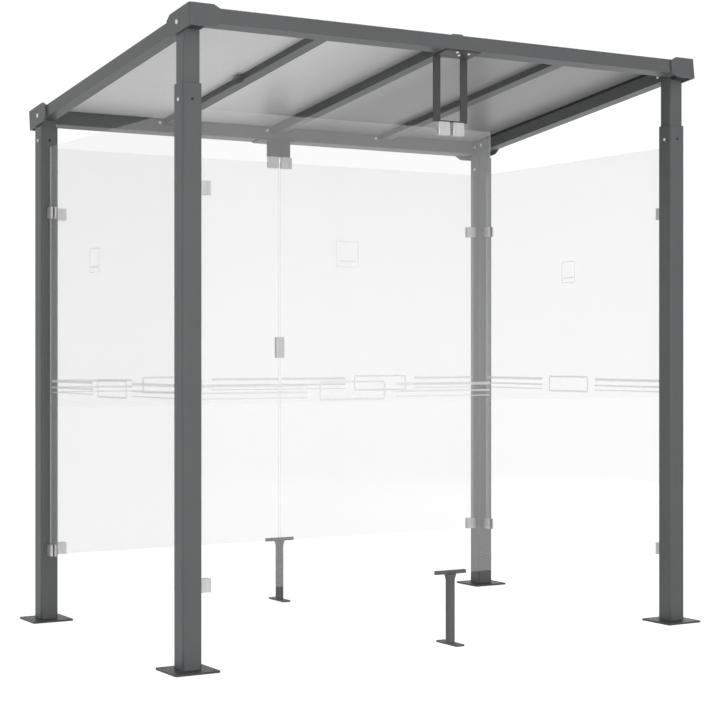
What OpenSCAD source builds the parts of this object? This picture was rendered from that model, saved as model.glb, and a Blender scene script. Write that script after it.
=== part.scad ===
// Smoking shelter: an open steel frame with a sloping translucent roof and five clear glass screens.
// Millimetres, +Z up, X across the width, Y from the open front to the rear.
// Origin: bottom centre, on the floor under the middle of the shelter.

/* [Posts] */
// distance between post centres across the width
post_pitch_x = 2360; // [1600:10:3200]
// distance between post centres from front to rear
post_pitch_y = 1470; // [1000:10:2400]
// side of the square post tube
post_side = 80; // [60:5:120]
// wall thickness of the post tube
post_wall = 4; // [2:0.5:6]
// corner radius of the post tube
post_corner_r = 8; // [3:1:12]
// gap between the rear posts' top edge and the rear corner caps
post_cap_gap = 2.7; // [1:0.1:100]
// side of the square base plate
plate_side = 185; // [140:5:260]
// thickness of the base plate
plate_t = 8; // [5:1:16]
// corner radius of the base plate
plate_corner_r = 8; // [2:1:20]
// distance between the anchor holes in a base plate
anchor_pitch = 145; // [100:5:210]
// anchor hole diameter
anchor_d = 14; // [8:1:22]

/* [Upper tubes] */
// clearance of the upper tube in the post, each side
upper_clear = 2; // [0.5:0.5:4]
// wall thickness of the upper tube
upper_wall = 3; // [2:0.5:6]
// corner radius of the upper tube
upper_corner_r = 6; // [3:1:10]
// length of upper tube held inside the post
upper_engage = 150; // [80:10:400]
// drop from the post's top edge to its cross bolt
cross_bolt_drop = 60; // [30:1:120]
// cross bolt hole diameter
cross_bolt_d = 9; // [6:0.5:14]

/* [Roof frame] */
// roof slope, falling to the rear
roof_slope = 7; // [3:0.5:15]
// height of the beams' underside above the floor at mid depth
roof_height = 2310; // [2100:5:2900]
// how far the corner caps stand beyond the posts at the sides
side_overhang = 3; // [1:1:60]
// how far the corner caps stand beyond the posts at the front and rear
end_overhang = 71; // [40:1:200]
// width of the front and rear beams
end_beam_w = 68; // [50:1:90]
// height of the front and rear beams
end_beam_h = 57; // [45:1:80]
// width of the left and right beams
side_beam_w = 60; // [45:1:80]
// height of the left and right beams
side_beam_h = 53; // [40:1:75]
// wall thickness of the beams
beam_wall = 3; // [2:0.5:5]
// width of the middle rafter
mid_rafter_w = 52; // [40:1:90]
// height of the middle rafter
mid_rafter_h = 40; // [25:1:60]
// width of the outer rafters
side_rafter_w = 57; // [40:1:90]
// height of the outer rafters
side_rafter_h = 28; // [20:1:50]
// distance from the centre line to the left rafter's centre
left_rafter_x = 562; // [300:2:800]
// distance from the centre line to the right rafter's centre
right_rafter_x = 614; // [300:2:800]
// wall thickness of a rafter
rafter_wall = 3; // [2:0.5:5]
// height of the roof sheet's underside above the beams' underside
sheet_level = 65; // [58:1:85]

/* [Corner caps] */
// height of a corner cap
cap_h = 87; // [70:1:120]
// how far a cap reaches below the beams
cap_drop = 17; // [2:1:30]
// plate thickness of a cap
cap_t = 9; // [3:1:12]
// length of a cap's leg on the front or rear beam
cap_leg_end = 132; // [90:1:220]
// length of a cap's leg on the left or right beam
cap_leg_side = 202; // [120:1:300]
// length of the slanted corner on a cap's leg
cap_chamfer = 28; // [8:1:50]

/* [Roof sheets] */
// thickness of the twin wall roof sheet
sheet_t = 6; // [4:1:16]
// gap between the two roof sheets
sheet_gap = 4; // [1:1:10]
// distance from the outer edge of the frame to the edge of the sheet
sheet_inset = 34; // [25:1:55]
// pitch of the flow channels in the sheet
channel_pitch = 60; // [30:5:120]
// skin thickness of the sheet
skin_t = 1; // [0.5:0.1:2]
// width of the strip over the sheet joint
joint_strip_w = 50; // [40:1:90]
// thickness of the strip over the sheet joint
joint_strip_t = 5; // [3:1:10]

/* [Glass] */
// glass thickness
glass_t = 8; // [6:1:12]
// height of the glass above the floor
glass_bottom = 290; // [100:5:500]
// height of the glass panes
glass_h = 1815; // [1500:5:2200]
// gap between a pane's edge and the post
glass_gap = 12; // [5:1:30]
// distance from the centre line to the free edge of the front pane
front_glass_reach = 198; // [80:2:600]
// gap between the two rear panes
rear_glass_gap = 10; // [4:1:20]

/* [Clamps] */
// reach of a post clamp
clamp_len = 50; // [40:1:80]
// height of a post clamp
clamp_h = 52; // [40:1:70]
// thickness of a clamp across the glass
clamp_t = 26; // [20:1:36]
// edge radius of a clamp
clamp_edge_r = 4; // [1:0.5:6]
// clearance of the glass in a clamp slot, each side
clamp_clear = 0.3; // [0.1:0.05:1]
// height of the lower clamps' centres
clamp_low_z = 316; // [300:1:500]
// height of the upper clamps' centres
clamp_high_z = 1810; // [1500:5:2100]
// width of a clamp on the top edge of the glass
top_clamp_w = 55; // [40:1:70]
// height of a clamp on the top edge of the glass
top_clamp_h = 54; // [40:1:70]
// distance from the centre line to a top clamp's centre
top_clamp_x = 35; // [30:1:80]

/* [Hanging brackets] */
// plate thickness of the hanging brackets
bracket_t = 6; // [4:1:10]
// width of a bar of the front bracket
bar_w = 34; // [20:1:50]
// distance from the centre line to a bar's centre
bar_x = 66; // [40:1:100]
// height of the crosspiece between the bars
crosspiece_h = 7; // [5:1:30]
// width of the rear bracket's plate
rear_plate_w = 126; // [80:2:180]
// width of the rear bracket's flange
rear_flange_w = 200; // [130:2:260]

/* [Support feet and connector] */
// length of the floor plate from front to rear
foot_plate_l = 147; // [100:1:200]
// width of the floor plate
foot_plate_w = 40; // [30:1:80]
// thickness of the floor plate
foot_plate_t = 8; // [5:1:12]
// hole diameter in the floor plate
foot_hole_d = 11; // [6:1:14]
// distance between the holes in the floor plate
foot_hole_pitch = 117; // [80:1:160]
// diameter of the foot's tube
foot_tube_d = 38; // [25:1:60]
// wall thickness of the foot's tube
foot_tube_wall = 3; // [2:0.5:5]
// diameter of the collar under the channel
foot_collar_d = 50; // [40:1:80]
// height of the collar
foot_collar_h = 24; // [10:1:40]
// length of the channel that holds the lower edge of the glass
foot_channel_l = 147; // [100:1:200]
// wall thickness of the channel
foot_channel_wall = 3; // [2:0.5:5]
// depth of the glass in the channel
foot_channel_grip = 12; // [6:1:25]
// height of the connector's centre between the rear panes
connector_z = 1216; // [800:1:1600]
// height of the connector
connector_h = 100; // [60:1:140]
// width of the connector
connector_w = 42; // [30:1:60]
// thickness of the connector
connector_t = 28; // [20:1:40]

/* [Hidden] */
eps = 0.02;
post_x = post_pitch_x / 2;
post_y = post_pitch_y / 2;
post_top = roof_height - (post_y + post_side / 2) * tan(roof_slope) - cap_drop / cos(roof_slope) - post_cap_gap;
upper_side = post_side - 2 * post_wall - 2 * upper_clear;
cross_bolt_z = post_top - cross_bolt_drop;
roof_w = post_pitch_x + post_side + 2 * side_overhang;
roof_d = post_pitch_y + post_side + 2 * end_overhang;
// roof plane: s runs down the slope to the rear, h stands square to it
slope_cos = cos(roof_slope);
slope_sin = sin(roof_slope);
cap_top = cap_h - cap_drop;
cap_front_s = (roof_d / 2 - cap_drop * slope_sin) / slope_cos;
cap_rear_s = (roof_d / 2 - cap_top * slope_sin) / slope_cos;
frame_front_s = cap_front_s - cap_t;
frame_rear_s = cap_rear_s - cap_t;
frame_x = roof_w / 2 - cap_t;
open_front_s = frame_front_s - end_beam_w;
open_rear_s = frame_rear_s - end_beam_w;
open_x = frame_x - side_beam_w;
open_len = open_front_s + open_rear_s;
sheet_x = frame_x - sheet_inset;
sheet_front_s = frame_front_s - sheet_inset;
sheet_rear_s = frame_rear_s - sheet_inset;
sheet_len = sheet_front_s + sheet_rear_s;
sheet_w = sheet_x - sheet_gap / 2;
rest_w = end_beam_w - sheet_inset;
seal_w = side_beam_w - sheet_inset;
glass_top = glass_bottom + glass_h;
glass_x = post_x - post_side / 2 - glass_gap;
glass_y = post_y - post_side / 2 - glass_gap;
slot_w = glass_t + 2 * clamp_clear;
clamp_wall = glass_gap - clamp_clear;
top_slot_h = 28;
top_clamp_z = glass_top + clamp_clear - top_slot_h;
bracket_z = top_clamp_z + top_clamp_h;
steel = [0.42, 0.44, 0.45];
dark = [0.06, 0.06, 0.06];
satin = [0.78, 0.78, 0.77];
clear = [0.80, 0.90, 0.88, 0.35];
opal = [0.85, 0.86, 0.86, 0.6];
$fn = 48;

// places its children in the sloping roof plane
module on_roof() {
    translate([0, 0, roof_height]) {
        rotate([-roof_slope, 0, 0]) {
            children();
        }
    }
}

// upright bar with rounded corners, centred on X and Y
module rounded_bar(w, d, h, r) {
    translate([-w / 2 + r, -d / 2, 0]) {
        cube([w - 2 * r, d, h]);
    }
    translate([-w / 2, -d / 2 + r, 0]) {
        cube([w, d - 2 * r, h]);
    }
    for (sx = [-1, 1]) {
        for (sy = [-1, 1]) {
            translate([sx * (w / 2 - r), sy * (d / 2 - r), 0]) {
                cylinder(h = h, r = r);
            }
        }
    }
}

// upright square tube with rounded corners
module square_tube(side, wall, h, r) {
    difference() {
        rounded_bar(side, side, h, r);
        translate([0, 0, -1]) {
            rounded_bar(side - 2 * wall, side - 2 * wall, h + 2, r - wall / 2);
        }
    }
}

// everything below the beams' underside, for trimming upright pieces to the roof
module under_roof() {
    on_roof() {
        translate([-roof_w, -roof_d, -2 * roof_height]) {
            cube([2 * roof_w, 2 * roof_d, 2 * roof_height]);
        }
    }
}

module post(x, y) {
    color(steel) {
        translate([x, y, plate_t]) {
            difference() {
                square_tube(post_side, post_wall, post_top - plate_t, post_corner_r);
                translate([0, -post_side / 2 - 1, cross_bolt_z - plate_t]) {
                    rotate([-90, 0, 0]) {
                        cylinder(h = post_wall + 2, d = cross_bolt_d);
                    }
                }
            }
        }
    }
}

module base_plate(x, y) {
    color(steel) {
        translate([x, y, 0]) {
            difference() {
                rounded_bar(plate_side, plate_side, plate_t, plate_corner_r);
                for (sx = [-1, 1]) {
                    for (sy = [-1, 1]) {
                        translate([sx * anchor_pitch / 2, sy * anchor_pitch / 2, -1]) {
                            cylinder(h = plate_t + 2, d = anchor_d);
                        }
                    }
                }
            }
        }
    }
}

module upper_tube(x, y) {
    color(steel) {
        intersection() {
            translate([x, y, post_top - upper_engage]) {
                square_tube(upper_side, upper_wall, roof_height, upper_corner_r);
            }
            under_roof();
        }
    }
}

// hollow bar lying in the roof plane, from its low corner
module box_tube(l, w, h, wall, along_x) {
    bore = along_x ? [l + 2, w - 2 * wall, h - 2 * wall] : [l - 2 * wall, w + 2, h - 2 * wall];
    start = along_x ? [-1, wall, wall] : [wall, -1, wall];
    difference() {
        cube([l, w, h]);
        translate(start) {
            cube(bore);
        }
    }
}

module end_beam(s) {
    color(steel) {
        on_roof() {
            translate([-frame_x, s, 0]) {
                box_tube(2 * frame_x, end_beam_w, end_beam_h, beam_wall, true);
            }
        }
    }
}

module side_beam(x) {
    color(steel) {
        on_roof() {
            translate([x, -open_front_s, 0]) {
                box_tube(side_beam_w, open_len, side_beam_h, beam_wall, false);
            }
        }
    }
}

module rafter(x, w, h) {
    color(steel) {
        on_roof() {
            translate([x - w / 2, -open_front_s, sheet_level - h]) {
                box_tube(w, open_len, h, rafter_wall, false);
            }
        }
    }
}

// one leg of a corner cap: a plate from the corner along +X, both corners of its free end slanted
module cap_leg(l) {
    difference() {
        translate([cap_t, 0, 0]) {
            cube([l - cap_t, cap_t, cap_h]);
        }
        translate([l, -1, cap_h - cap_chamfer * 0.6]) {
            rotate([0, -60, 0]) {
                cube([2 * cap_chamfer, cap_t + 2, 2 * cap_chamfer]);
            }
        }
        translate([l, -1, cap_chamfer * 0.6]) {
            rotate([0, 60, 0]) {
                translate([0, 0, -2 * cap_chamfer]) {
                    cube([2 * cap_chamfer, cap_t + 2, 2 * cap_chamfer]);
                }
            }
        }
    }
}

// corner cap with its outer corner at the origin, legs along +X and +Y
module cap_body() {
    cap_leg(cap_leg_end);
    mirror([1, -1, 0]) {
        cap_leg(cap_leg_side);
    }
    intersection() {
        translate([cap_t, cap_t, 0]) {
            cylinder(h = cap_h, r = cap_t);
        }
        cube([cap_t, cap_t, cap_h]);
    }
}

module corner_cap(sx, sy) {
    s = sy < 0 ? -cap_front_s : cap_rear_s;
    color(steel) {
        on_roof() {
            translate([sx * roof_w / 2, s, -cap_drop]) {
                scale([-sx, -sy, 1]) {
                    cap_body();
                }
            }
        }
    }
}

// strips on the end beams that carry the sheet's ends
module sheet_rests() {
    color(steel) {
        on_roof() {
            for (s = [-sheet_front_s, sheet_rear_s - rest_w]) {
                translate([-sheet_x, s, end_beam_h]) {
                    cube([2 * sheet_x, rest_w, sheet_level - end_beam_h]);
                }
            }
        }
    }
}

// dark strips between the side beams and the sheet
module side_seals() {
    color(dark) {
        on_roof() {
            for (x = [-sheet_x, sheet_x - seal_w]) {
                translate([x, -open_front_s, side_beam_h]) {
                    cube([seal_w, open_len, sheet_level - side_beam_h]);
                }
            }
        }
    }
}

// one twin wall sheet: two skins on webs that run down the slope
module roof_sheet(x) {
    channels = floor(sheet_w / channel_pitch);
    cell = (sheet_w - skin_t) / channels;
    color(opal) {
        on_roof() {
            translate([x, -sheet_front_s, sheet_level]) {
                difference() {
                    cube([sheet_w, sheet_len, sheet_t]);
                    for (i = [0 : channels - 1]) {
                        translate([skin_t + i * cell, -1, skin_t]) {
                            cube([cell - skin_t, sheet_len + 2, sheet_t - 2 * skin_t]);
                        }
                    }
                }
            }
        }
    }
}

// strip that covers the gap between the sheets
module sheet_joint_strip() {
    color(steel) {
        on_roof() {
            translate([-joint_strip_w / 2, -sheet_front_s, sheet_level + sheet_t]) {
                cube([joint_strip_w, sheet_len, joint_strip_t]);
            }
        }
    }
}

// pane that faces the front or the rear
module pane_x(x, y, w) {
    color(clear) {
        translate([x, y - glass_t / 2, glass_bottom]) {
            cube([w, glass_t, glass_h]);
        }
    }
}

// pane that faces a side
module pane_y(x) {
    color(clear) {
        translate([x - glass_t / 2, -glass_y, glass_bottom]) {
            cube([glass_t, 2 * glass_y, glass_h]);
        }
    }
}

// clamp that stands out of a post face along +X, slotted for the glass
module post_clamp() {
    color(satin) {
        difference() {
            intersection() {
                translate([0, 0, -clamp_h / 2]) {
                    cube([clamp_len, clamp_t, clamp_h]);
                }
                translate([clamp_len / 2, clamp_t / 2, -clamp_h / 2]) {
                    rounded_bar(clamp_len + 2 * clamp_edge_r, clamp_t, clamp_h, clamp_edge_r);
                }
            }
            translate([clamp_wall, (clamp_t - slot_w) / 2, -clamp_h]) {
                cube([clamp_len, slot_w, 2 * clamp_h]);
            }
        }
    }
}

// pair of post clamps, lower and upper, that reach from (x, y) in the given direction
module clamp_pair(x, y, turn) {
    for (z = [clamp_low_z, clamp_high_z]) {
        translate([x, y, z]) {
            rotate([0, 0, turn]) {
                translate([0, -clamp_t / 2, 0]) {
                    post_clamp();
                }
            }
        }
    }
}

// clamp on the top edge of the glass, open downward
module top_clamp(x, y) {
    color(satin) {
        translate([x, y, top_clamp_z]) {
            difference() {
                rounded_bar(top_clamp_w, clamp_t, top_clamp_h, clamp_edge_r);
                translate([-top_clamp_w, -slot_w / 2, -1]) {
                    cube([2 * top_clamp_w, slot_w, top_slot_h + 1]);
                }
            }
        }
    }
}

// all clamps of the front pane
module front_clamps() {
    clamp_pair(-post_x + post_side / 2, -post_y, 0);
    for (sx = [-1, 1]) {
        top_clamp(sx * top_clamp_x, -post_y);
    }
}

// all clamps of one side pane
module side_clamps(x) {
    clamp_pair(x, -post_y + post_side / 2, 90);
    clamp_pair(x, post_y - post_side / 2, -90);
}

// all clamps of one rear pane
module rear_clamps(sx) {
    clamp_pair(sx * (post_x - post_side / 2), post_y, sx < 0 ? 0 : 180);
    top_clamp(sx * top_clamp_x, post_y);
}

// block with a slot on each side for the facing edges of the rear panes
module rear_connector() {
    color(satin) {
        translate([0, post_y, connector_z - connector_h / 2]) {
            difference() {
                rounded_bar(connector_w, connector_t, connector_h, clamp_edge_r);
                for (sx = [0, 1]) {
                    translate([sx * connector_w - connector_w, -slot_w / 2, -1]) {
                        translate([sx * (rear_glass_gap / 2 - clamp_clear), 0, 0]) {
                            cube([connector_w - rear_glass_gap / 2 + clamp_clear, slot_w, connector_h + 2]);
                        }
                    }
                }
            }
        }
    }
}

// flange under an end beam, from y0 to y1
module bracket_flange(w, y0, y1) {
    on_roof() {
        translate([-w / 2, y0 / slope_cos, -bracket_t]) {
            cube([w, (y1 - y0) / slope_cos, bracket_t]);
        }
    }
}

module front_bracket() {
    y = -post_y;
    flange_l = 96;
    color(steel) {
        bracket_flange(2 * bar_x + bar_w + 4, y - flange_l, y);
        intersection() {
            for (sx = [-1, 1]) {
                translate([sx * bar_x - bar_w / 2, y - bracket_t / 2, bracket_z]) {
                    cube([bar_w, bracket_t, roof_height]);
                }
            }
            under_roof();
        }
        translate([-bar_x, y - bracket_t / 2, bracket_z]) {
            cube([2 * bar_x, bracket_t, crosspiece_h]);
        }
    }
}

module rear_bracket() {
    y = post_y;
    plate_y = y + clamp_t / 2 - bracket_t;
    flange_l = 92;
    color(steel) {
        bracket_flange(rear_flange_w, plate_y + bracket_t / 2, y + flange_l);
        intersection() {
            translate([-rear_plate_w / 2, plate_y, bracket_z]) {
                cube([rear_plate_w, bracket_t, roof_height]);
            }
            under_roof();
        }
    }
}

// T shaped foot: floor plate, tube, flared collar and a channel around the lower edge of the glass
module support_foot(y) {
    channel_bottom = glass_bottom - foot_channel_wall;
    channel_w = slot_w + 2 * foot_channel_wall;
    tube_h = channel_bottom - foot_plate_t;
    color(steel) {
        translate([0, y, 0]) {
            difference() {
                translate([-foot_plate_w / 2, -foot_plate_l / 2, 0]) {
                    cube([foot_plate_w, foot_plate_l, foot_plate_t]);
                }
                for (sy = [-1, 1]) {
                    translate([0, sy * foot_hole_pitch / 2, -1]) {
                        cylinder(h = foot_plate_t + 2, d = foot_hole_d);
                    }
                }
            }
            translate([0, 0, foot_plate_t - eps]) {
                difference() {
                    cylinder(h = tube_h + 2 * eps, d = foot_tube_d);
                    translate([0, 0, 5]) {
                        cylinder(h = tube_h - 10, d = foot_tube_d - 2 * foot_tube_wall);
                    }
                }
            }
            translate([0, 0, channel_bottom - foot_collar_h]) {
                cylinder(h = foot_collar_h, d1 = foot_tube_d, d2 = foot_collar_d);
            }
            difference() {
                translate([-foot_channel_l / 2, -channel_w / 2, channel_bottom - eps]) {
                    cube([foot_channel_l, channel_w, foot_channel_wall + foot_channel_grip + eps]);
                }
                translate([-foot_channel_l, -slot_w / 2, glass_bottom]) {
                    cube([2 * foot_channel_l, slot_w, glass_h]);
                }
            }
        }
    }
}

post(-post_x, -post_y);  // post_front_left
post(post_x, -post_y);  // post_front_right
post(-post_x, post_y);  // post_rear_left
post(post_x, post_y);  // post_rear_right
base_plate(-post_x, -post_y);  // base_plate_front_left
base_plate(post_x, -post_y);  // base_plate_front_right
base_plate(-post_x, post_y);  // base_plate_rear_left
base_plate(post_x, post_y);  // base_plate_rear_right
upper_tube(-post_x, -post_y);  // upper_tube_front_left
upper_tube(post_x, -post_y);  // upper_tube_front_right
upper_tube(-post_x, post_y);  // upper_tube_rear_left
upper_tube(post_x, post_y);  // upper_tube_rear_right
end_beam(-frame_front_s);  // front_beam
end_beam(open_rear_s);  // rear_beam
side_beam(-frame_x);  // left_beam
side_beam(open_x);  // right_beam
rafter(-left_rafter_x, side_rafter_w, side_rafter_h);  // rafter_left
rafter(0, mid_rafter_w, mid_rafter_h);  // rafter_middle
rafter(right_rafter_x, side_rafter_w, side_rafter_h);  // rafter_right
corner_cap(-1, -1);  // corner_cap_front_left
corner_cap(1, -1);  // corner_cap_front_right
corner_cap(-1, 1);  // corner_cap_rear_left
corner_cap(1, 1);  // corner_cap_rear_right
sheet_rests();
side_seals();
roof_sheet(-sheet_x);  // roof_sheet_left
roof_sheet(sheet_gap / 2);  // roof_sheet_right
sheet_joint_strip();
pane_x(-glass_x, -post_y, glass_x + front_glass_reach);  // front_glass
pane_x(-glass_x, post_y, glass_x - rear_glass_gap / 2);  // rear_glass_left
pane_x(rear_glass_gap / 2, post_y, glass_x - rear_glass_gap / 2);  // rear_glass_right
pane_y(-post_x);  // left_glass
pane_y(post_x);  // right_glass
front_clamps();  // clamps_front
side_clamps(-post_x);  // clamps_left
side_clamps(post_x);  // clamps_right
rear_clamps(-1);  // clamps_rear_left
rear_clamps(1);  // clamps_rear_right
rear_connector();
front_bracket();
rear_bracket();
support_foot(-post_y);  // front_foot
support_foot(post_y);  // rear_foot
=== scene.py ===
"""Looks for the smoking shelter: materials, fixings, prints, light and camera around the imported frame."""

import math

import bmesh
import bpy
from mathutils import Euler, Matrix, Vector


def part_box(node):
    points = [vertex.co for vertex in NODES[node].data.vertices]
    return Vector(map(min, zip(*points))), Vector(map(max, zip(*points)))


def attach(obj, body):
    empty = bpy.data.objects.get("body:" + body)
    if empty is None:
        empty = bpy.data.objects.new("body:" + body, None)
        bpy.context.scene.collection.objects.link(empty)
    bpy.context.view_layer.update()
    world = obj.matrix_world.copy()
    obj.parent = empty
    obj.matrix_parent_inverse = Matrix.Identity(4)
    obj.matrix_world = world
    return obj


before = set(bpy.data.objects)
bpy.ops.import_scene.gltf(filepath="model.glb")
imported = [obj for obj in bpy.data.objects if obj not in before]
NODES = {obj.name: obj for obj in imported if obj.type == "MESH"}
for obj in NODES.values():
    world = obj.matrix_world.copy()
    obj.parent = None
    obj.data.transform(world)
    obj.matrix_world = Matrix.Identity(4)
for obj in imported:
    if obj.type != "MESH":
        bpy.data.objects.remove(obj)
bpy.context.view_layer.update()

# Lengths are in metres. X points right, Y to the rear and Z up.

# ---------------------------------------------------------------- frame sizes
ROOF_SLOPE = math.radians(7)
BEAM_LEVEL = 2.310  # height of the beams' underside at mid depth
POST_X = 1.180
POST_Y = 0.735
POST_HALF = 0.040
CROSS_BOLT_Z = 2.135
GLASS_HALF = 0.004
GLASS_FOOT = 0.290
GLASS_TOP = 2.105
CLAMP_HALF = 0.013
CLAMP_LEVELS = (0.316, 1.810)
CONNECTOR_Z = 1.216
CONNECTOR_HALF = 0.014
CAP_FACE_X = 1.223  # outer faces of the corner caps
BEAM_FACE_X = 1.154  # inner faces of the side beams
REAR_FACE_S = 0.7667  # inner faces of the end beams, along the slope
FRONT_FACE_S = -0.7733
RAFTERS = ((-0.562, 0.0285), (0.0, 0.026), (0.614, 0.0285))  # centre and half width of each
CORNERS = ((-1, -1), (-1, 1), (1, -1), (1, 1))  # signs of X and Y

# ---------------------------------------------------------------- fixings: radius and height of each head
POST_BOLT = (0.0075, 0.0045)
CAP_BOLT = (0.010, 0.005)
BEAM_BOLT = (0.008, 0.005)
CLAMP_SCREW = (0.0048, 0.0022)
CONNECTOR_SCREW = (0.0055, 0.0025)
FLANGE_BOLT = (0.0065, 0.005)
RAFTER_BOLT = (0.008, 0.006)
# Dark discs of painted shade in the posts' holes: radius, rim and top height
HOLE_SHADE_R, HOLE_SHADE_RIM, HOLE_SHADE_TOP = 0.0058, 0.0004, 0.0006
DOME_ANGLES = (0.0, 0.35, 0.7, 1.0)  # where the rim of a head is turned to its dome
SOCKET_R, SOCKET_TOP, SOCKET_DEPTH = 0.42, 0.95, 0.55  # shares of the head's radius and height
HEAD_STEPS, HOLE_SHADE_STEPS = 24, 20

# Their places. H is the height square to the roof frame's underside.
CAP_BOLT_S, CAP_BOLT_H = 0.735, 0.026
BEAM_BOLTS = ((0.749, 0.033), (0.694, 0.033), (-0.677, 0.027))  # Y and H of each
CLAMP_SCREW_REACH = 0.030  # from the post's face
CLAMP_SCREW_RISE = 0.013
CONNECTOR_SCREW_RISE = 0.028
FLANGE_BOLTS = ((-0.022, 0.818), (0.009, 0.784), (0.040, 0.810))  # X and Y of each
FLANGE_T = 0.006
RAFTER_BOLT_GAP = 0.022
RAFTER_BOLT_H = 0.045

# Sheet clip, and black blocks of painted shade under the corners
CLIP_REACH = 0.024
CLIP_WALL = 0.004
CLIP_S = (-0.045, 0.015)
CLIP_H = (0.030, 0.050, 0.0535)  # foot of the wall, underside of the leaf and its top
SHADE_BLOCK_X = (1.147, 1.2135)
SHADE_BLOCK_S = (0.779, 0.834)
SHADE_BLOCK_H = (-0.010, -0.0003)

# ---------------------------------------------------------------- prints on the glass
STRIPES = ((1.065, 0.012), (1.037, 0.008), (1.016, 0.005))  # height above the floor and width of each
STRIPE_GAP = 0.055  # from the stripes to the frame between them
STRIPE_END = 0.004  # from the stripes to the pane's edge
FRAME_W, FRAME_H, FRAME_Z, FRAME_LINE = 0.295, 0.069, 1.042, 0.008
SIGN_SIDE, SIGN_Z, SIGN_LINE = 0.100, 1.578, 0.003
SIGN_BAR_DROP, SIGN_BAR_HALF = 0.55, 0.7  # shares of the sign's half side
SIGN_FRONT_X, SIGN_LEFT_Y, SIGN_RIGHT_Y = -0.490, 0.186, 0.0
PRINT_T = 0.0006
PRINT_GAP = 0.0001
EDGE_T = 0.0003

# ---------------------------------------------------------------- looks
NOISE_ROUGHNESS = 0.55
PAINT_SPECULAR = 0.35
SATIN_METALLIC = 0.55
GLASS_IOR = 1.5
GLASS_ALPHA = 0.12
EDGE_ALPHA = 0.45
FROST_ALPHA = 0.38
SHEET_ALPHA = 0.90
RIB_PITCH = 0.0105
WELD_GAP = 0.00002
SOFT_EDGE = 0.0012
SOFT_ANGLE = math.radians(40)

# ---------------------------------------------------------------- camera and light
CAMERA_AT = (-3.972, -6.642, 1.188)
CAMERA_YAW = math.radians(-30.95)
CAMERA_LENS = 86.97
CAMERA_SENSOR = 36
CAMERA_SHIFT_Y = -0.0092
LAMP_TARGET = (0, 0, 1.2)
LAMPS = (  # name, place, size and watts
    ("key", (-1.5, -8.0, 2.0), 4.0, 190),
    ("side", (-16.0, -2.0, 2.5), 8.0, 120),
    ("fill", (7.5, 3.0, 2.5), 4.0, 90),
)
FLOOR_HALF = 30
FLOOR_DROP = 0.0005
FLOOR_COLOUR = 0.80
FLOOR_GLOW = 0.12  # soft light back up from the floor
FLOOR_SEEN = 0.78  # added for the camera and reflections, so that the floor is white outside the shadow
SKY_HORIZON, SKY_HIGH, SKY_HIGH_AT = 0.80, 0.30, 0.7
SKY_SEEN = 1.04


def add_camera():
    data = bpy.data.cameras.new("camera")
    data.lens = CAMERA_LENS
    data.sensor_width = CAMERA_SENSOR
    data.shift_y = CAMERA_SHIFT_Y
    camera = bpy.data.objects.new("camera", data)
    camera.location = CAMERA_AT
    camera.rotation_euler = Euler((math.radians(90), 0, CAMERA_YAW))
    bpy.context.scene.collection.objects.link(camera)
    bpy.context.scene.camera = camera


# ---------------------------------------------------------------- material helpers
def new_material(name):
    """A node material, its tree, and its Principled shader."""
    material = bpy.data.materials.new(name)
    material.use_nodes = True
    tree = material.node_tree
    return material, tree, tree.nodes["Principled BSDF"]


def dial(shader, values):
    """Sets the named sockets of a shader."""
    for name, value in values.items():
        shader.inputs[name].default_value = value


def node(tree, kind, **values):
    made = tree.nodes.new(kind)
    for key, value in values.items():
        if key in made.inputs:
            made.inputs[key].default_value = value
        else:
            setattr(made, key, value)
    return made


def grey(value):
    return (value, value, value)


def ramp(tree, source, stops):
    """A colour ramp fed by a socket, with stops given as (position, colour)."""
    made = tree.nodes.new("ShaderNodeValToRGB")
    points = made.color_ramp.elements
    while len(points) < len(stops):
        points.new(0.5)
    for point, (position, colour) in zip(points, stops):
        point.position = position
        point.color = (*colour, 1)
    tree.links.new(source, made.inputs["Fac"])
    return made.outputs["Color"]


def blend(tree, source, low, high):
    """Two tones mixed by a noise socket around its middle."""
    return ramp(tree, source, [(0.3, low), (0.7, high)])


def noise(tree, scale, detail=2.0, stretch=(1, 1, 1)):
    """Noise in object space, stretched along chosen axes."""
    place = tree.nodes.new("ShaderNodeTexCoord")
    mapping = tree.nodes.new("ShaderNodeMapping")
    mapping.inputs["Scale"].default_value = stretch
    tree.links.new(place.outputs["Object"], mapping.inputs["Vector"])
    made = node(tree, "ShaderNodeTexNoise", Scale=scale, Detail=detail, Roughness=NOISE_ROUGHNESS)
    tree.links.new(mapping.outputs["Vector"], made.inputs["Vector"])
    return made.outputs["Fac"]


def bump(tree, shader, height, strength, distance):
    made = node(tree, "ShaderNodeBump", Strength=strength, Distance=distance)
    tree.links.new(height, made.inputs["Height"])
    tree.links.new(made.outputs["Normal"], shader.inputs["Normal"])


def object_position(tree, axis):
    """Object space position along one axis."""
    place = tree.nodes.new("ShaderNodeTexCoord")
    split = tree.nodes.new("ShaderNodeSeparateXYZ")
    tree.links.new(place.outputs["Object"], split.inputs[0])
    return split.outputs[axis]


def object_share(tree, axis, low, high):
    """Object space position along one axis, from 0 at low to 1 at high."""
    made = tree.nodes.new("ShaderNodeMapRange")
    made.inputs["From Min"].default_value = low
    made.inputs["From Max"].default_value = high
    tree.links.new(object_position(tree, axis), made.inputs["Value"])
    return made.outputs["Result"]


# ---------------------------------------------------------------- materials
def painted_steel(name, low, high):
    """Fine textured powder coat: slight colour variation, orange peel bump."""
    material, tree, shader = new_material(name)
    clouds = noise(tree, 3.0, detail=4.0)
    tree.links.new(blend(tree, clouds, low, high), shader.inputs["Base Color"])
    grain = noise(tree, 420.0)
    tree.links.new(blend(tree, grain, grey(0.40), grey(0.54)), shader.inputs["Roughness"])
    dial(shader, {"Specular IOR Level": PAINT_SPECULAR})
    bump(tree, shader, grain, 0.12, 0.0004)
    return material


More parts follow.
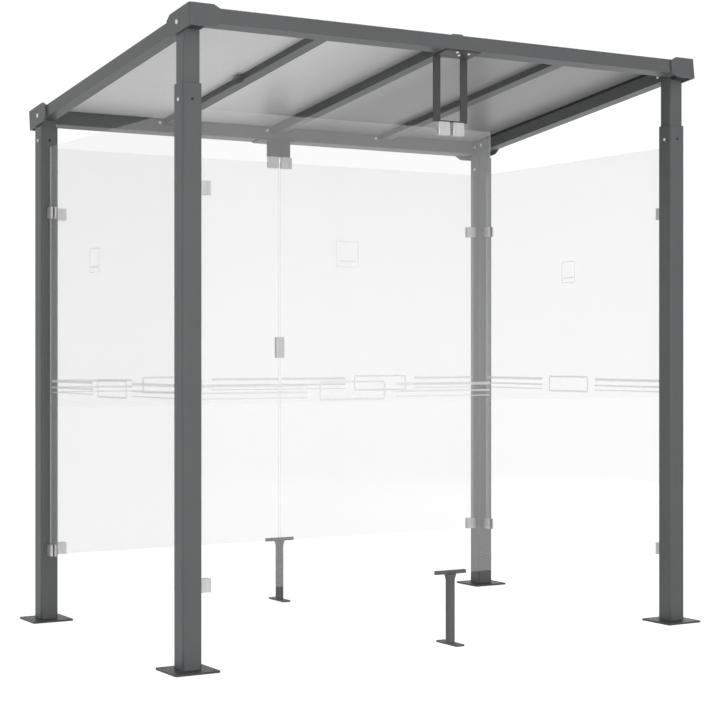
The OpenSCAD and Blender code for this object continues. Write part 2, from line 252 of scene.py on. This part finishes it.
def satin_metal(name, low, high, stretch):
    """Brushed stainless steel with streaks along one axis."""
    material, tree, shader = new_material(name)
    dial(shader, {"Metallic": SATIN_METALLIC})
    streaks = noise(tree, 60.0, detail=4.0, stretch=stretch)
    tree.links.new(blend(tree, streaks, low, high), shader.inputs["Base Color"])
    tree.links.new(blend(tree, streaks, grey(0.28), grey(0.42)), shader.inputs["Roughness"])
    bump(tree, shader, streaks, 0.1, 0.0003)
    return material


def clear_glass(name):
    """Pane with a faint grey haze, clearest at mid height; this change of tone with height is painted
    light.
    """
    material, tree, shader = new_material(name)
    # Painted light: the haze's tone is highest at mid height and lower towards the foot and the top.
    haze_with_painted_light = ramp(tree, object_share(tree, "Z", GLASS_FOOT, GLASS_TOP), [
        (0.0, grey(0.86)), (0.25, grey(0.94)), (0.5, grey(0.99)), (0.75, grey(0.90)), (1.0, grey(0.80)),
    ])
    tree.links.new(haze_with_painted_light, shader.inputs["Base Color"])
    dial(shader, {"Roughness": 0.04, "IOR": GLASS_IOR, "Alpha": GLASS_ALPHA})
    return material


def edge_glass(name):
    """Ground edge of a pane, a little darker than its face."""
    material, tree, shader = new_material(name)
    grain = noise(tree, 200.0)
    tone = blend(tree, grain, (0.50, 0.53, 0.53), (0.56, 0.59, 0.59))
    tree.links.new(tone, shader.inputs["Base Color"])
    dial(shader, {"Roughness": 0.3, "Alpha": EDGE_ALPHA})
    return material


def frosted(name):
    """White etched stripes on the glass."""
    material, tree, shader = new_material(name)
    grain = noise(tree, 500.0)
    tree.links.new(blend(tree, grain, grey(0.90), grey(0.95)), shader.inputs["Base Color"])
    dial(shader, {"Roughness": 0.6, "Alpha": FROST_ALPHA})
    bump(tree, shader, grain, 0.2, 0.0003)
    return material


def ribbed_sheet(name):
    """Translucent twin wall sheet: fine channels run from front to rear, and the left half is lighter,
    which is painted light across the sheet.
    """
    material, tree, shader = new_material(name)
    pitch = node(tree, "ShaderNodeMath", operation="MULTIPLY")
    pitch.inputs[1].default_value = 1 / RIB_PITCH
    tree.links.new(object_position(tree, "X"), pitch.inputs[0])
    saw = node(tree, "ShaderNodeMath", operation="FRACT")
    tree.links.new(pitch.outputs[0], saw.inputs[0])
    lines = ramp(tree, saw.outputs[0], [
        (0.0, grey(0.40)), (0.12, grey(1.0)), (0.88, grey(1.0)), (1.0, grey(0.40)),
    ])
    # Painted light: the sheet's colour is full on the left and falls to about 0.4 on the right.
    painted_light_across = ramp(tree, object_share(tree, "X", -POST_X, POST_X), [
        (0.0, grey(1.0)), (0.3, grey(0.98)), (0.6, grey(0.39)), (1.0, grey(0.42)),
    ])
    both = node(tree, "ShaderNodeMix", data_type="RGBA", blend_type="MULTIPLY")
    both.inputs["Factor"].default_value = 1.0
    tree.links.new(painted_light_across, both.inputs[6])
    tree.links.new(lines, both.inputs[7])
    tree.links.new(both.outputs[2], shader.inputs["Base Color"])
    dial(shader, {"Roughness": 0.35, "Alpha": SHEET_ALPHA})
    bump(tree, shader, saw.outputs[0], 0.25, 0.001)
    return material


def rubber_and_shade(name):
    """Dull black rubber, also used as painted shade under the corners and in the post holes."""
    material, tree, shader = new_material(name)
    grain = noise(tree, 300.0)
    tree.links.new(blend(tree, grain, grey(0.012), grey(0.022)), shader.inputs["Base Color"])
    dial(shader, {"Roughness": 0.8})
    return material


STEEL = painted_steel("grey_paint", (0.106, 0.111, 0.113), (0.118, 0.123, 0.125))
# Painted shade: a darker copy of the same grey paint, used on the base plates and the hanging brackets.
SHADED_STEEL = painted_steel("grey_paint_painted_shade", (0.052, 0.053, 0.054), (0.060, 0.061, 0.062))
SATIN = satin_metal("satin_steel", grey(0.50), grey(0.60), (1, 1, 0.06))
FIXING = satin_metal("bright_fixing", grey(0.62), grey(0.75), (1, 1, 1))
GLASS = clear_glass("clear_glass")
FROST = frosted("frosted_stripe")
SHEET = ribbed_sheet("roof_sheet")
RUBBER_AND_SHADE = rubber_and_shade("seal_rubber")
GLASS_EDGE = edge_glass("pane_edge")


# ---------------------------------------------------------------- carried-over nodes
def node_material(name):
    """The material of a frame node, chosen by its name."""
    if "glass" in name:
        return GLASS
    if name.startswith("clamps") or name == "rear_connector":
        return SATIN
    if name.startswith("roof_sheet"):
        return SHEET
    if name == "side_seals":
        return RUBBER_AND_SHADE
    # Painted shade: base plates and hanging brackets take the darker copy of the grey paint.
    if name.endswith("bracket") or "plate" in name:
        return SHADED_STEEL
    return STEEL


def dress_nodes():
    """Materials for the frame's nodes, and soft edges on the metal ones."""
    for name, thing in NODES.items():
        material = node_material(name)
        thing.data.materials.clear()
        thing.data.materials.append(material)
        if material in (GLASS, SHEET, RUBBER_AND_SHADE):
            continue
        weld = thing.modifiers.new("weld", "WELD")
        weld.merge_threshold = WELD_GAP
        soft = thing.modifiers.new("soft_edges", "BEVEL")
        soft.width = SOFT_EDGE
        soft.segments = 2
        soft.limit_method = "ANGLE"
        soft.angle_limit = SOFT_ANGLE
        soft.harden_normals = True


# ---------------------------------------------------------------- piece helpers
ROOF_PLACE = Matrix.Translation((0, 0, BEAM_LEVEL)) @ Matrix.Rotation(-ROOF_SLOPE, 4, "X")


def roof_point(x, s, h):
    """A point of the sloping roof frame: s runs down the slope, h stands square to it."""
    return Vector((
        x,
        s * math.cos(ROOF_SLOPE) + h * math.sin(ROOF_SLOPE),
        BEAM_LEVEL - s * math.sin(ROOF_SLOPE) + h * math.cos(ROOF_SLOPE),
    ))


def at(point, direction):
    """Placement at a point that turns +Z to a direction."""
    return Matrix.Translation(point) @ Vector(direction).to_track_quat("Z", "Y").to_matrix().to_4x4()


def add_piece(name, build, material, slot):
    """A mesh piece made by build(bm), riding on the frame."""
    bm = bmesh.new()
    build(bm)
    bmesh.ops.recalc_face_normals(bm, faces=bm.faces)
    mesh = bpy.data.meshes.new(name)
    bm.to_mesh(mesh)
    bm.free()
    piece = bpy.data.objects.new(name, mesh)
    bpy.context.scene.collection.objects.link(piece)
    mesh.materials.append(material)
    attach(piece, "root")


def lathe(bm, profile, place, steps):
    """Closed turned solid around local Z, from (radius, height) points whose ends lie on the axis."""
    rings = []
    for radius, height in profile:
        if radius == 0:
            rings.append([bm.verts.new(place @ Vector((0, 0, height)))])
            continue
        rings.append([
            bm.verts.new(place @ Vector((
                radius * math.cos(2 * math.pi * i / steps),
                radius * math.sin(2 * math.pi * i / steps),
                height,
            )))
            for i in range(steps)
        ])
    for low, high in zip(rings, rings[1:]):
        for i in range(steps):
            j = (i + 1) % steps
            corners = [low[i % len(low)], low[j % len(low)], high[j % len(high)], high[i % len(high)]]
            unique = list(dict.fromkeys(corners))
            if len(unique) > 2:
                bm.faces.new(unique)


def dome_bolt(bm, place, radius, height):
    """Low domed head with a round socket."""
    socket = radius * SOCKET_R
    depth = height * SOCKET_DEPTH
    rim = [(radius * math.cos(a), height * math.sin(a)) for a in DOME_ANGLES]
    hollow = [(socket, height * SOCKET_TOP), (socket, height - depth), (0, height - depth)]
    lathe(bm, [(0, 0)] + rim + hollow, place, HEAD_STEPS)


def block(bm, low, high, place=Matrix.Identity(4)):
    """Box between two corners."""
    made = bmesh.ops.create_cube(bm, size=1)["verts"]
    size = [b - a for a, b in zip(low, high)]
    middle = [(a + b) / 2 for a, b in zip(low, high)]
    shape = Matrix.Translation(middle) @ Matrix.Diagonal((*size, 1))
    bmesh.ops.transform(bm, matrix=shape, verts=made)
    bmesh.ops.transform(bm, matrix=place, verts=made)


# ---------------------------------------------------------------- fixings
def post_bolts(bm):
    """Cross bolt heads on the left faces of the posts."""
    for sx, sy in CORNERS:
        spot = (sx * POST_X - POST_HALF, sy * POST_Y, CROSS_BOLT_Z)
        dome_bolt(bm, at(spot, (-1, 0, 0)), *POST_BOLT)


def hole_shade_discs(bm):
    """Dark discs over the cross bolt holes of the posts' front faces: painted shade for the dark inside of
    the holes.
    """
    profile = [(0, 0), (HOLE_SHADE_R, 0), (HOLE_SHADE_R, HOLE_SHADE_RIM), (0, HOLE_SHADE_TOP)]
    for sx, sy in CORNERS:
        spot = (sx * POST_X, sy * POST_Y - POST_HALF, CROSS_BOLT_Z)
        lathe(bm, profile, at(spot, (0, -1, 0)), HOLE_SHADE_STEPS)


def cap_bolts(bm):
    """One bolt on the outer face of each corner cap."""
    for sx, sy in CORNERS:
        spot = roof_point(sx * CAP_FACE_X, sy * CAP_BOLT_S, CAP_BOLT_H)
        dome_bolt(bm, at(spot, (sx, 0, 0)), *CAP_BOLT)


def beam_bolts(bm):
    """Bolts on the inner faces of the side beams, close to the corners."""
    for sx in (-1, 1):
        for y, h in BEAM_BOLTS:
            spot = roof_point(sx * BEAM_FACE_X, y / math.cos(ROOF_SLOPE), h)
            dome_bolt(bm, at(spot, (-sx, 0, 0)), *BEAM_BOLT)


def clamp_screws(bm):
    """Two screws on the inner side of each post clamp. The front right post has none for a front pane."""
    inset = POST_HALF + CLAMP_SCREW_REACH
    for sx, sy in CORNERS:
        for level in CLAMP_LEVELS:
            for rise in (-CLAMP_SCREW_RISE, CLAMP_SCREW_RISE):
                z = level + rise
                if (sx, sy) != (1, -1):
                    spot = (sx * (POST_X - inset), sy * (POST_Y - CLAMP_HALF), z)
                    dome_bolt(bm, at(spot, (0, -sy, 0)), *CLAMP_SCREW)
                spot = (sx * (POST_X - CLAMP_HALF), sy * (POST_Y - inset), z)
                dome_bolt(bm, at(spot, (-sx, 0, 0)), *CLAMP_SCREW)


def connector_screws(bm):
    """Two screws on the front of the connector between the rear panes."""
    for rise in (-CONNECTOR_SCREW_RISE, CONNECTOR_SCREW_RISE):
        spot = (0, POST_Y - CONNECTOR_HALF, CONNECTOR_Z + rise)
        dome_bolt(bm, at(spot, (0, -1, 0)), *CONNECTOR_SCREW)


def flange_bolts(bm):
    """Bolts through the bracket flanges, seen from below."""
    down = roof_point(0, 0, 0) - roof_point(0, 0, 1)
    for x, y in FLANGE_BOLTS:
        for side in (-1, 1):
            spot = roof_point(x, side * y / math.cos(ROOF_SLOPE), -FLANGE_T)
            dome_bolt(bm, at(spot, down), *FLANGE_BOLT)


def rafter_bolts(bm):
    """Bolts beside each rafter on the inner faces of the end beams."""
    for centre, half in RAFTERS:
        for face, direction in ((REAR_FACE_S, -1), (FRONT_FACE_S, 1)):
            spot = roof_point(centre - half - RAFTER_BOLT_GAP, face, RAFTER_BOLT_H)
            dome_bolt(bm, at(spot, (0, direction, 0)), *RAFTER_BOLT)


def rafter_clip(bm):
    """Small sheet clip on the left side of the left rafter: a leaf over a short wall."""
    centre, half = RAFTERS[0]
    face = centre - half
    start, end = CLIP_S
    foot, underside, top = CLIP_H
    block(bm, (face - CLIP_REACH, start, underside), (face, end, top), ROOF_PLACE)
    block(bm, (face - CLIP_WALL, start, foot), (face, end, underside), ROOF_PLACE)


def painted_shade_corners(bm):
    """Black blocks that close the beams' undersides at the four corners: painted shade for the dark gaps
    under the caps.
    """
    for sx, sy in CORNERS:
        xs = sorted(sx * x for x in SHADE_BLOCK_X)
        ss = sorted(sy * s for s in SHADE_BLOCK_S)
        block(bm, (xs[0], ss[0], SHADE_BLOCK_H[0]), (xs[1], ss[1], SHADE_BLOCK_H[1]), ROOF_PLACE)


# ---------------------------------------------------------------- glass edges and prints
def pane_edges(bm):
    """Thin grey skins on the upright outer edges of the panes."""
    ends = {
        "front_glass": (0, 1),
        "rear_glass_left": (0,),
        "rear_glass_right": (1,),
        "left_glass": (0, 1),
        "right_glass": (0, 1),
    }
    for name, sides in ends.items():
        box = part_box(name)
        axis = 1 if name in ("left_glass", "right_glass") else 0
        for side in sides:
            edge = box[side][axis]
            near, far = list(box[0]), list(box[1])
            near[axis], far[axis] = sorted((edge, edge + (EDGE_T if side else -EDGE_T)))
            block(bm, near, far)


def pane_joint(bm):
    """Clear strip that fills the joint between the two rear panes."""
    left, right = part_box("rear_glass_left"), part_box("rear_glass_right")
    block(bm, (left[1].x + EDGE_T, left[0].y, left[0].z), (right[0].x - EDGE_T, left[1].y, left[1].z))


def print_block(bm, left, right, low, high, place):
    """Thin printed patch on a pane, given by its sides and its heights."""
    block(bm, (left, -PRINT_T, low), (right, -PRINT_GAP, high), place)


def outline(bm, left, right, low, high, width, place):
    """Plain printed frame around a rectangle."""
    line = width / 2
    for z in (low, high):
        print_block(bm, left, right, z - line, z + line, place)
    for x in (left, right):
        print_block(bm, x - line, x + line, low + line, high - line, place)


def stripes(bm, start, end, place):
    """Safety stripes between two ends of a pane, with a plain empty frame at the middle."""
    middle = (start + end) / 2
    left, right = middle - FRAME_W / 2, middle + FRAME_W / 2
    for z, height in STRIPES:
        for low, high in ((start, left - STRIPE_GAP), (right + STRIPE_GAP, end)):
            print_block(bm, low, high, z - height / 2, z + height / 2, place)
    outline(bm, left, right, FRAME_Z - FRAME_H / 2, FRAME_Z + FRAME_H / 2, FRAME_LINE, place)


def sign(bm, middle, place):
    """Plain outlined square with a short bar near its foot."""
    half = SIGN_SIDE / 2
    outline(bm, middle - half, middle + half, SIGN_Z - half, SIGN_Z + half, SIGN_LINE, place)
    bar = SIGN_Z - half * SIGN_BAR_DROP
    reach = half * SIGN_BAR_HALF
    print_block(bm, middle - reach, middle + reach, bar - SIGN_LINE, bar + SIGN_LINE, place)


def add_stripes(name, start, end, place):
    ends = (start + STRIPE_END, end - STRIPE_END)
    add_piece(name, lambda bm: stripes(bm, *ends, place), FROST, "clear_glass")


def add_sign(name, middle, place):
    add_piece(name, lambda bm: sign(bm, middle, place), FROST, "clear_glass")


def add_prints():
    """Stripes on every pane, and signs on the front and side panes."""
    front = Matrix.Translation((0, -POST_Y - GLASS_HALF, 0))
    rear = Matrix.Translation((0, POST_Y - GLASS_HALF, 0))
    low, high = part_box("front_glass")
    add_stripes("stripes_front", low.x, high.x, front)
    for side, turn, sign_y in (("left", 1, SIGN_LEFT_Y), ("right", -1, SIGN_RIGHT_Y)):
        low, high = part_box("rear_glass_" + side)
        add_stripes("stripes_rear_" + side, low.x, high.x, rear)
        low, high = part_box(side + "_glass")
        inner = high.x if side == "left" else low.x
        place = Matrix.Translation((inner, 0, 0)) @ Matrix.Rotation(turn * math.pi / 2, 4, "Z")
        add_stripes("stripes_" + side, low.y, high.y, place)
        add_sign("sign_" + side, sign_y, place)
    add_sign("sign_front", SIGN_FRONT_X, front)


# ---------------------------------------------------------------- stage
def seen_by_viewer(tree):
    """1 for rays that show the stage to the viewer: straight, mirrored or through glass."""
    path = tree.nodes.new("ShaderNodeLightPath")
    seen = path.outputs["Is Camera Ray"]
    for name in ("Is Glossy Ray", "Is Transmission Ray"):
        larger = node(tree, "ShaderNodeMath", operation="MAXIMUM")
        tree.links.new(seen, larger.inputs[0])
        tree.links.new(path.outputs[name], larger.inputs[1])
        seen = larger.outputs[0]
    return seen


def floor_material():
    """Pale diffuse floor with a glow that is stronger for the viewer."""
    material = bpy.data.materials.new("floor")
    material.use_nodes = True
    tree = material.node_tree
    tree.nodes.clear()
    output = tree.nodes.new("ShaderNodeOutputMaterial")
    diffuse = node(tree, "ShaderNodeBsdfDiffuse")
    diffuse.inputs["Color"].default_value = (*grey(FLOOR_COLOUR), 1)
    glow = node(tree, "ShaderNodeEmission")
    level = node(tree, "ShaderNodeMapRange")
    level.inputs["To Min"].default_value = FLOOR_GLOW
    level.inputs["To Max"].default_value = FLOOR_SEEN
    tree.links.new(seen_by_viewer(tree), level.inputs["Value"])
    tree.links.new(level.outputs["Result"], glow.inputs["Strength"])
    both = tree.nodes.new("ShaderNodeAddShader")
    tree.links.new(diffuse.outputs[0], both.inputs[0])
    tree.links.new(glow.outputs[0], both.inputs[1])
    tree.links.new(both.outputs[0], output.inputs["Surface"])
    return material


def add_floor():
    bm = bmesh.new()
    bmesh.ops.create_grid(bm, x_segments=1, y_segments=1, size=FLOOR_HALF)
    mesh = bpy.data.meshes.new("floor")
    bm.to_mesh(mesh)
    bm.free()
    floor = bpy.data.objects.new("floor", mesh)
    floor.location = (0, 0, -FLOOR_DROP)
    bpy.context.scene.collection.objects.link(floor)
    mesh.materials.append(floor_material())


def add_world():
    """Soft studio surround, brightest at the horizon, and plain white to the viewer."""
    world = bpy.data.worlds.new("studio")
    world.use_nodes = True
    tree = world.node_tree
    tree.nodes.clear()
    output = tree.nodes.new("ShaderNodeOutputWorld")
    place = tree.nodes.new("ShaderNodeTexCoord")
    split = tree.nodes.new("ShaderNodeSeparateXYZ")
    tree.links.new(place.outputs["Generated"], split.inputs[0])
    sky = ramp(tree, split.outputs["Z"], [(0.0, grey(SKY_HORIZON)), (SKY_HIGH_AT, grey(SKY_HIGH))])
    soft = node(tree, "ShaderNodeBackground", Strength=1.0)
    tree.links.new(sky, soft.inputs["Color"])
    white = node(tree, "ShaderNodeBackground", Strength=SKY_SEEN)
    white.inputs["Color"].default_value = (1, 1, 1, 1)
    mix = tree.nodes.new("ShaderNodeMixShader")
    tree.links.new(seen_by_viewer(tree), mix.inputs["Fac"])
    tree.links.new(soft.outputs[0], mix.inputs[1])
    tree.links.new(white.outputs[0], mix.inputs[2])
    tree.links.new(mix.outputs[0], output.inputs["Surface"])
    bpy.context.scene.world = world


def add_lamp(name, place, size, power):
    """Square area lamp that points at the middle of the shelter."""
    data = bpy.data.lights.new(name, "AREA")
    data.shape = "SQUARE"
    data.size = size
    data.energy = power
    lamp = bpy.data.objects.new(name, data)
    lamp.location = place
    lamp.rotation_euler = (Vector(LAMP_TARGET) - Vector(place)).to_track_quat("-Z", "Y").to_euler()
    bpy.context.scene.collection.objects.link(lamp)


# ---------------------------------------------------------------- make it
PIECES = (
    ("post_bolts", post_bolts, FIXING, "satin_steel"),
    ("cap_bolts", cap_bolts, FIXING, "satin_steel"),
    ("beam_bolts", beam_bolts, FIXING, "satin_steel"),
    ("clamp_screws", clamp_screws, SATIN, "satin_steel"),
    ("connector_screws", connector_screws, SATIN, "satin_steel"),
    ("flange_bolts", flange_bolts, FIXING, "satin_steel"),
    ("rafter_bolts", rafter_bolts, FIXING, "satin_steel"),
    ("rafter_clip", rafter_clip, STEEL, "grey_paint"),
    # painted shade: black blocks under the corners
    ("painted_shade_corners", painted_shade_corners, RUBBER_AND_SHADE, "seal_rubber"),
    # painted shade: dark discs in the post holes
    ("hole_shade_discs", hole_shade_discs, RUBBER_AND_SHADE, "seal_rubber"),
    ("pane_edges", pane_edges, GLASS_EDGE, "clear_glass"),
    ("pane_joint", pane_joint, GLASS, "clear_glass"),
)

add_camera()
dress_nodes()
for piece in PIECES:
    add_piece(*piece)
add_prints()
add_floor()
add_world()
for lamp in LAMPS:
    add_lamp(*lamp)
bpy.context.scene.view_settings.view_transform = "Standard"
